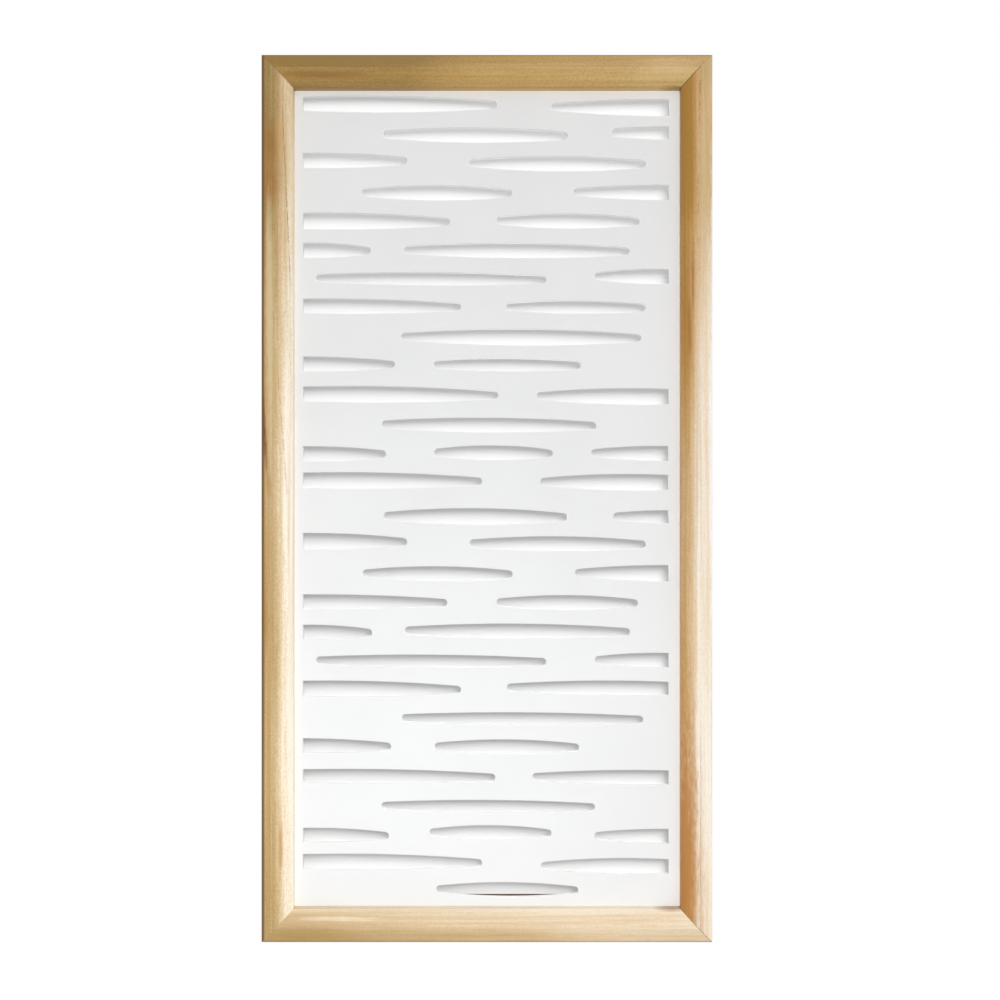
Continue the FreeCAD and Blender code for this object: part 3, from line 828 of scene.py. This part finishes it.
arc_start = slot_choice(is_second_half, arc_left, arc_right)
arc_end = slot_choice(is_second_half, arc_right, arc_left)
arc_x = (arc_end - arc_start) * run_share + arc_start
arc_z = side * swell_at(arc_x)
end_angle = (end_lean * -2.0 + math.pi) * run_share + end_lean
round_x = end_angle.by("SINE") * end_radius + reach
round_z = end_angle.by("COSINE") * end_radius
end_room = slot_choice(is_second_half, room_right, -room_left)
is_cut = end_room.by("LESS_THAN", tangent)
cut_z = swell_at(end_room.by("MINIMUM", tangent)) * (run_share * -2.0 + 1.0)
end_x = side * slot_choice(is_cut, round_x, end_room)
end_z = side * slot_choice(is_cut, round_z, cut_z)
own_x = slot_choice(is_end, arc_x, end_x)
own_z = slot_choice(is_end, arc_z, end_z)
lean_fall = own_x * sheet["Lean"].by("TANGENT")
line_spot = vector_of(sheet_tree, X=centre["X"] + own_x, Y=centre["Y"] + (own_z - lean_fall))
slot_outlines = add_step(sheet_tree, "GeometryNodeSetPosition",
                         {"Geometry": slot_lines, "Position": line_spot})

low_axes = sheet["Low corner"].axes()
high_axes = sheet["High corner"].axes()
low_right = vector_of(sheet_tree, X=high_axes["X"], Y=low_axes["Y"])
high_left = vector_of(sheet_tree, X=low_axes["X"], Y=high_axes["Y"])
sheet_edge = add_step(sheet_tree, "GeometryNodeCurvePrimitiveQuadrilateral",
                      {"Point 1": sheet["Low corner"], "Point 2": low_right,
                       "Point 3": sheet["High corner"], "Point 4": high_left}, mode="POINTS")
sheet_lines = both_shapes(slot_outlines, sheet_edge)
sheet_face = add_step(sheet_tree, "GeometryNodeFillCurve", {0: sheet_lines}, mode="NGONS")
sheet_body = add_step(sheet_tree, "GeometryNodeExtrudeMesh",
                      {"Mesh": sheet_face, "Offset Scale": sheet["Thickness"], "Individual": False})
sheet_underside = add_step(sheet_tree, "GeometryNodeFlipFaces", {0: sheet_face})
sheet_whole = both_shapes(sheet_body, sheet_underside)
sheet_closed = add_step(sheet_tree, "GeometryNodeMergeByDistance",
                        {0: sheet_whole, "Distance": weld_distance})
sheet_set_back = vector_of(sheet_tree, Y=sheet["Back face"])
close_tree(placed_shape(sheet_closed, sheet_set_back, (math.pi / 2, 0, 0)), sheet["Finish"])

lacquer = bpy.data.materials.new("white_satin_lacquer")
lacquer_spot = spot_in(blank_tree(lacquer))
lacquer_stipple = noise(lacquer_spot, 2.0, 1100.0)
lacquer_cloud = noise(lacquer_spot, 3.0, 7.0)
lacquer_normal = add_step(lacquer_spot.tree, "ShaderNodeNewGeometry", output="Normal")
# The cut walls are whiter than the face: partly the cut's own colour, partly painted light on walls that lie
# in shade.
lacquer_wall_light_share = abs(lacquer_normal.axes()["Y"]).led(0.25, 0.75, 1.0, 0.0)
lacquer_white = toned(lacquer_cloud, [(0.3, (236, 236, 236)), (0.7, (240, 240, 240))])
lacquer_colour = with_stain_or_painted_light(lacquer_white, lacquer_wall_light_share, (250, 250, 248))
lacquer_rough = lacquer_cloud.led(0.3, 0.7, 0.46, 0.56)
close_finish(lacquer_colour, lacquer_rough, lacquer_stipple, 0.10, 0.0002, Specular_IOR_Level=0.3)

slotted_sheet = made_piece(
    "slotted_sheet", slot_marks, sheet_tree,
    {"End radius": slot_end_radius, "Lean": slot_lean, "Points in a run": slot_run_points,
     "Left margin": margin_left, "Right margin": margin_right, "Low corner": (*sheet_low, 0),
     "High corner": (*sheet_high, 0), "Thickness": sheet_thickness, "Back face": sheet_back,
     "Finish": lacquer},
    ease=sheet_ease, ease_angle=sheet_ease_angle)
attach(slotted_sheet, "root")
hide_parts("slotted_panel")


# Stops: four plain square-edged strips of dark brown softwood, laid behind the sheet in the rabbet.
# The end stops run the full width and the side stops are butted between them; their edges are rubbed down.
# They stand a little past the sight edge, the one at the foot further than the others.
stop_front = 0.009
stop_back = 0.019
stop_depth = stop_back - stop_front
rabbet_line = face_width - rabbet_width
stop_half_width = frame_width / 2 - rabbet_line
stop_proud = 0.002
foot_stop_proud = 0.0105
stop_inner = stop_half_width - rabbet_width - stop_proud
stop_foot = face_width + foot_stop_proud
stop_head = frame_height - face_width - stop_proud
stop_ease = 0.0006
lying = (0, 0, 0)
upright = (0, math.pi / 2, 0)
stop_places = {
    "bottom_stop": (lying, (-stop_half_width, stop_half_width), (rabbet_line, stop_foot)),
    "top_stop": (lying, (-stop_half_width, stop_half_width), (stop_head, frame_height - rabbet_line)),
    "left_stop": (upright, (stop_foot, stop_head), (-stop_half_width, -stop_inner)),
    "right_stop": (upright, (stop_foot, stop_head), (stop_inner, stop_half_width)),
}


def stop_wood(name, turn, seed):
    """Planed softwood, dark brown, with fine straight grain along the strip."""
    wood = bpy.data.materials.new(name)
    strip_way = stretched(spot_in(blank_tree(wood)), (1, 1, 1), turn, seed)
    fine = noise(stretched(strip_way, (14.0, 900.0, 900.0)), 3.0)
    broad = noise(stretched(strip_way, (3.0, 190.0, 190.0)), 3.0)
    colour = toned(fine * 0.4 + broad * 0.6, [(0.34, (104, 72, 48)), (0.66, (66, 43, 28))])
    close_finish(colour, broad.led(0.3, 0.7, 0.62, 0.76), fine, 0.3, 0.0003)
    return wood


for order, (stop, (turn, run_span, width_span)) in enumerate(stop_places.items()):
    width = width_span[1] - width_span[0]
    stop_corners = [(0, 0, 0), (0, width, 0), (stop_depth, width, 0), (stop_depth, 0, 0)]
    section = section_loop(stop + "_section", stop_corners, -stop_front)
    middle = (run_span[0] + run_span[1]) / 2
    place = (middle, 0, width_span[0]) if turn == lying else (width_span[0], 0, middle)
    seed = (order * 1.3, order * 0.4, 0.7)
    strip = made_piece(
        stop + "_strip", section, run_tree,
        {"Length": run_span[1] - run_span[0], "Mitre": 0.0, "Turn": turn, "Place": place,
         "Finish": stop_wood(stop + "_wood", turn, seed)},
        ease=stop_ease)
    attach(strip, "root")
    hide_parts(stop)


# Brads: fine steel wire nails driven through each stop into the rabbet wall, in an even row.
# Each has a small domed head left just at the stop's inner face, a drawn shank and a ground point.
brad_length = 0.030
brad_radius = 0.0008
brad_head_radius = 0.0013
brad_head = 0.0009
brad_point = 0.0025
brad_sides = 14
brad_line = 0.014
brad_end_distance = 0.050
brads_across = 4
brads_up = 6
brad_sharp_angle = math.radians(50)
brad_inputs = [
    ("Brad", "Geometry"), ("Count", "Int"), ("First", "Vector"), ("Step", "Vector"), ("Turn", "Vector"),
    ("Finish", "Material"),
]
brad_tree, brad = shaping_tree("row_of_brads", brad_inputs)
brad_points = add_step(brad_tree, "GeometryNodeMeshLine",
                       {"Count": brad["Count"], "Start Location": brad["First"], "Offset": brad["Step"]})
brad_row = copies_on(brad_points, brad["Brad"], Rotation=rotation_of(brad_tree, brad["Turn"]))
close_tree(brad_row, brad["Finish"])

brad_outline = [
    (0.0, 0.00022), (brad_head_radius * 0.55, 0.00018), (brad_head_radius * 0.9, 0.00004),
    (brad_head_radius, -0.00015), (brad_head_radius * 0.97, -brad_head * 0.55), (brad_radius, -brad_head),
    (brad_radius, brad_point - brad_length), (brad_radius * 0.25, -brad_length + 0.0004), (0.0, -brad_length),
]
brad_steel = bare_steel("brad_steel", (176, 176, 178), 0.34)
first_across = -stop_half_width + brad_end_distance
first_up = stop_foot + brad_end_distance
step_across = (-2 * first_across / (brads_across - 1), 0, 0)
step_up = (0, 0, (stop_head - brad_end_distance - first_up) / (brads_up - 1))
brad_rows = [
    ("bottom_stop_brads", brads_across, (first_across, brad_line, stop_foot), step_across, (0, 0, 0)),
    ("top_stop_brads", brads_across, (first_across, brad_line, stop_head), step_across, (0, math.pi, 0)),
    ("left_stop_brads", brads_up, (-stop_inner, brad_line, first_up), step_up, (0, math.pi / 2, 0)),
    ("right_stop_brads", brads_up, (stop_inner, brad_line, first_up), step_up, (0, -math.pi / 2, 0)),
]
for row_name, count, first, step, turn in brad_rows:
    lathe = bmesh.new()
    line_verts = [lathe.verts.new((radius, 0, level)) for radius, level in brad_outline]
    line_edges = [lathe.edges.new(pair) for pair in zip(line_verts, line_verts[1:])]
    bmesh.ops.spin(lathe, geom=line_verts + line_edges, cent=(0, 0, 0), axis=(0, 0, 1), angle=math.tau,
                   steps=brad_sides, use_merge=True)
    bmesh.ops.remove_doubles(lathe, verts=lathe.verts, dist=weld_distance)
    bmesh.ops.recalc_face_normals(lathe, faces=lathe.faces)
    brad_blank = bpy.data.meshes.new(row_name + "_blank")
    lathe.to_mesh(brad_blank)
    lathe.free()
    brads = made_piece(
        row_name + "_wire", brad_blank, brad_tree,
        {"Count": count, "First": first, "Step": step, "Turn": turn, "Finish": brad_steel})
    brads.data.shade_smooth()
    brads.data.set_sharp_from_angle(angle=brad_sharp_angle)
    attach(brads, "root")
    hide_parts(row_name)


# Floor: a plain pale studio floor that shows white and keeps the panel's soft shadow.
# It stands for the surface that the frame's bottom edge rests on.
floor_reach = 12
floor_grey = (226, 226, 226)
floor_shadow = (0.34, 0.34, 0.34, 1.0)
floor_shine = 0.80
plain_white = (1.0, 1.0, 1.0, 1.0)


def seen_ray(tree):
    """Whether a spot is seen straight, in a gloss or through something clear."""
    ways = ("Camera", "Glossy", "Transmission")
    straight, gloss, clear = [add_step(tree, "ShaderNodeLightPath", output=f"Is {way} Ray") for way in ways]
    return straight.by("MAXIMUM", gloss.by("MAXIMUM", clear))


def close_mix(share, first, second, end="ShaderNodeOutputMaterial"):
    """The end of a stage finish, which goes from one look to another by a share."""
    mix = add_step(share.tree, "ShaderNodeMixShader", {0: share, 1: first, 2: second})
    add_step(share.tree, end, {"Surface": mix})


def stage_plane(name, corners, finish):
    """One flat plane of the stage."""
    mesh = bpy.data.meshes.new(name)
    mesh.from_pydata(corners, [], [(0, 1, 2, 3)])
    mesh.materials.append(finish)
    return new_object(name, mesh)


floor_paint = bpy.data.materials.new("pale_floor")
floor_tree = blank_tree(floor_paint)
floor_matt = add_step(floor_tree, "ShaderNodeBsdfDiffuse", {"Color": tint(*floor_grey)})
floor_faint = add_step(floor_tree, "ShaderNodeBsdfDiffuse", {"Color": floor_shadow})
floor_glow = add_step(floor_tree, "ShaderNodeEmission", {"Color": plain_white, "Strength": floor_shine})
floor_white = add_step(floor_tree, "ShaderNodeAddShader", {0: floor_faint, 1: floor_glow})
close_mix(seen_ray(floor_tree), floor_matt, floor_white)
floor_corners = [
    (-floor_reach, -floor_reach, 0), (floor_reach, -floor_reach, 0),
    (floor_reach, floor_reach, 0), (-floor_reach, floor_reach, 0),
]
floor = stage_plane("floor", floor_corners, floor_paint)


# Backdrop card: the pale wall close behind the sheet that the slots show in the photograph.
# It is seen only from the front, and lights nothing, so the slots stay open from behind.
card_level = 0.0195
card_half_width = 0.285
card_bottom = 0.02
card_top = 1.18
tone_low = 0.05
tone_high = 1.15
foot_high = 0.18
card_tones = (0.69, 0.51)
foot_glow = (0.14, 0.06)
head_glow = 0.245
head_glow_power = 3.0

card_paint = bpy.data.materials.new("backdrop_white")
card_tree = blank_tree(card_paint)
card_height = spot_in(card_tree).axes()["Z"]
# Painted light on the card: its colour darkens towards the top while it glows more there and at its foot, so
# the shade in the slots runs alike from row to row.
card_tone = card_height.led(tone_low, tone_high, *card_tones)
card_matt = add_step(card_tree, "ShaderNodeBsdfDiffuse", {"Color": card_tone})
card_rise = card_height.led(tone_low, tone_high, 0.0, 1.0)
card_foot = card_height.led(tone_low, foot_high, *foot_glow)
card_lift = card_rise.by("POWER", head_glow_power) * head_glow + card_foot
card_glow = add_step(card_tree, "ShaderNodeEmission", {"Strength": card_lift})
card_lit = add_step(card_tree, "ShaderNodeAddShader", {0: card_matt, 1: card_glow})
card_clear = add_step(card_tree, "ShaderNodeBsdfTransparent")
card_side = add_step(card_tree, "ShaderNodeNewGeometry", output="Backfacing")
close_mix(card_side, card_lit, card_clear)
card_corners = [
    (-card_half_width, card_level, card_bottom), (card_half_width, card_level, card_bottom),
    (card_half_width, card_level, card_top), (-card_half_width, card_level, card_top),
]
card = stage_plane("backdrop_card", card_corners, card_paint)
card.visible_diffuse = False
card.visible_glossy = False
card.visible_transmission = False
card.visible_shadow = False


# Studio light: an even pale surround and five lamps, each kept to what it lights. Two broad ones from the
# upper right light the frame and the sheet, a low fill the foot, one the back, and one the backdrop card.
# The surround shows as plain white, and the lamps stay at the level where colours render as written.
panel_middle = Vector((0, 0, 0.6))
lamp_side = math.radians(24)
lamp_spread = math.radians(40)
lamp_distance = 6
surround_levels = (0.13, 0.70)

world = bpy.data.worlds.new("studio")
bpy.context.scene.world = world
world_tree = blank_tree(world)
world_way = add_step(world_tree, "ShaderNodeTexCoord", output="Generated")
world_level = world_way.axes()["Z"].led(0.0, 1.0, *surround_levels)
world_light = add_step(world_tree, "ShaderNodeBackground", {"Color": plain_white, "Strength": world_level})
world_white = add_step(world_tree, "ShaderNodeBackground", {"Color": plain_white, "Strength": 1.0})
close_mix(seen_ray(world_tree), world_light, world_white, "ShaderNodeOutputWorld")


def hung_lamp(name, kind, energy, place, target):
    """A lamp at its place, turned to its target."""
    data = bpy.data.lights.new(name, kind)
    data.energy = energy
    lamp = new_object(name, data)
    lamp.location = place
    lamp.rotation_euler = (target - place).to_track_quat("-Z", "Y").to_euler()
    return lamp


def soft_lamp(name, rise, energy):
    """A broad, far lamp from the upper right, as high as its rise."""
    level = math.cos(rise)
    way = Vector((math.sin(lamp_side) * level, -math.cos(lamp_side) * level, math.sin(rise)))
    lamp = hung_lamp(name, "SUN", energy, panel_middle + way * lamp_distance, panel_middle)
    lamp.data.angle = lamp_spread
    return lamp


def disc_lamp(name, size, energy, place, target):
    """A round lamp that isn't seen itself."""
    lamp = hung_lamp(name, "AREA", energy, Vector(place), Vector(target))
    lamp.data.shape = "DISK"
    lamp.data.size = size
    lamp.visible_camera = False
    return lamp


key = soft_lamp("upper_right_lamp", math.radians(21), 1.50)
sheet_lamp = soft_lamp("sheet_lamp", math.radians(40), 1.83)
fill = disc_lamp("low_front_fill", 0.6, 1.85, (-0.15, -0.75, 0.12), (0, 0, 0.2))
fill.data.color = (0.93, 0.97, 1.0)
rear_lamp = hung_lamp("rear_lamp", "SUN", 1.30, panel_middle + Vector((0, lamp_distance, 0)), panel_middle)
rear_lamp.data.angle = math.radians(8)
card_lamp = disc_lamp("backdrop_lamp", 1.7, 1.0, (0.58, -1.369, 1.42), (-0.1, 0, -0.6))
card_lamp.visible_glossy = False
card_lamp_tree = blank_tree(card_lamp.data)
card_lamp_even = add_step(card_lamp_tree, "ShaderNodeLightFalloff", {"Strength": 16.8}, output="Constant")
card_lamp_glow = add_step(card_lamp_tree, "ShaderNodeEmission", {"Strength": card_lamp_even})
add_step(card_lamp_tree, "ShaderNodeOutputLight", {"Surface": card_lamp_glow})


def link_lamp(lamp, role, objects, state):
    """Keeps a lamp's light or its shadows to some objects, or off them."""
    group = bpy.data.collections.new(lamp.name + "_" + role)
    for item in objects:
        group.objects.link(item)
    for entry in group.collection_objects:
        entry.light_linking.link_state = state
    setattr(lamp.light_linking, role + "_collection", group)


frame_members = [bpy.data.objects[member + "_moulding"] for member, length, place in frame_places]
link_lamp(key, "receiver", [card, slotted_sheet], "EXCLUDE")
link_lamp(fill, "receiver", [card], "EXCLUDE")
link_lamp(rear_lamp, "receiver", [card, floor], "EXCLUDE")
link_lamp(card_lamp, "receiver", [card], "INCLUDE")
link_lamp(sheet_lamp, "receiver", [slotted_sheet], "INCLUDE")
link_lamp(sheet_lamp, "blocker", frame_members, "EXCLUDE")


# Camera: level with the middle of the panel and square to it, at the photograph's distance.
camera_data = bpy.data.cameras.new("camera")
camera_data.sensor_fit = "HORIZONTAL"
camera_data.sensor_width = 36.0
camera_data.lens = 36.0
camera = new_object("camera", camera_data)
camera.location = (0.0176, -1.369, 0.5979)
camera.rotation_euler = (math.pi / 2, 0, 0)
bpy.context.scene.camera = camera
bpy.context.scene.view_settings.view_transform = "Standard"
